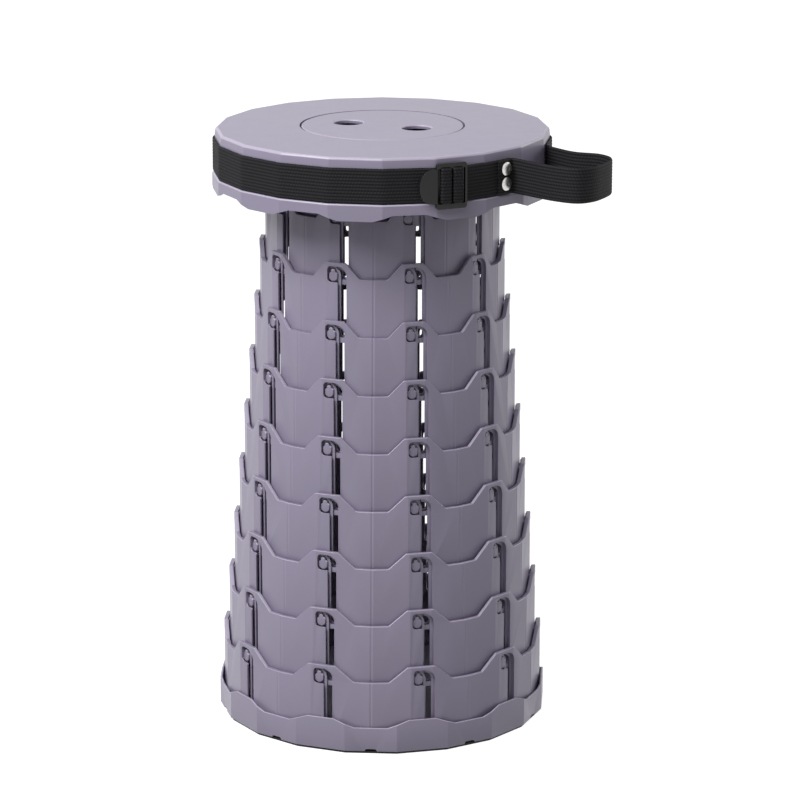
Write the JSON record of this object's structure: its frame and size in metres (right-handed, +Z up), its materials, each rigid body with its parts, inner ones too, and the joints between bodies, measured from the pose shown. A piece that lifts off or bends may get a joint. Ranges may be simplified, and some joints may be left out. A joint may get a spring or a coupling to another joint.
{
  "type": "telescopic stool",
  "caption": "Round collapsible stool of nested plastic rings on a shallow base cup, with a seat cap, finger holes and a webbing carry strap.",
  "frame": {"origin": "centre of the foot mat's underside, on the floor", "axes": "+Z up along the column, -Y towards the pictured front, +X to the carry loop's side"},
  "size_m": [0.2955, 0.2556, 0.45],
  "materials": {
    "plastic": "satin",
    "mat": "matt",
    "webbing": "matt",
    "moulding": "satin",
    "nickel": "polished"
  },
  "bodies": {
    "base": {"foot_mat": "mat", "base_cup": "plastic", "ring_9": "plastic"},
    "section_8": {"ring_8": "plastic"},
    "section_7": {"ring_7": "plastic"},
    "section_6": {"ring_6": "plastic"},
    "section_5": {"ring_5": "plastic"},
    "section_4": {"ring_4": "plastic"},
    "section_3": {"ring_3": "plastic"},
    "section_2": {"ring_2": "plastic"},
    "section_1": {"ring_1": "plastic"},
    "seat": {"seat_tube": "plastic", "seat_cap": "plastic", "seat_disc": "plastic", "strap_band": "webbing", "carry_loop": "webbing", "strap_anchor": "webbing", "buckle_frame": "moulding", "rivet_upper": "nickel", "rivet_lower": "nickel"}
  },
  "joints": [
    {"name": "slide_8", "type": "slide", "parent": "base", "child": "section_8", "axis": [0, 0, 1], "range_m": [-0.0427, 0]},
    {"name": "slide_7", "type": "slide", "parent": "section_8", "child": "section_7", "axis": [0, 0, 1], "range_m": [-0.0427, 0]},
    {"name": "slide_6", "type": "slide", "parent": "section_7", "child": "section_6", "axis": [0, 0, 1], "range_m": [-0.0427, 0]},
    {"name": "slide_5", "type": "slide", "parent": "section_6", "child": "section_5", "axis": [0, 0, 1], "range_m": [-0.0427, 0]},
    {"name": "slide_4", "type": "slide", "parent": "section_5", "child": "section_4", "axis": [0, 0, 1], "range_m": [-0.0427, 0]},
    {"name": "slide_3", "type": "slide", "parent": "section_4", "child": "section_3", "axis": [0, 0, 1], "range_m": [-0.0427, 0]},
    {"name": "slide_2", "type": "slide", "parent": "section_3", "child": "section_2", "axis": [0, 0, 1], "range_m": [-0.0427, 0]},
    {"name": "slide_1", "type": "slide", "parent": "section_2", "child": "section_1", "axis": [0, 0, 1], "range_m": [-0.0427, 0]},
    {"name": "seat_slide", "type": "slide", "parent": "section_1", "child": "seat", "axis": [0, 0, 1], "range_m": [-0.0369, 0]}
  ]
}
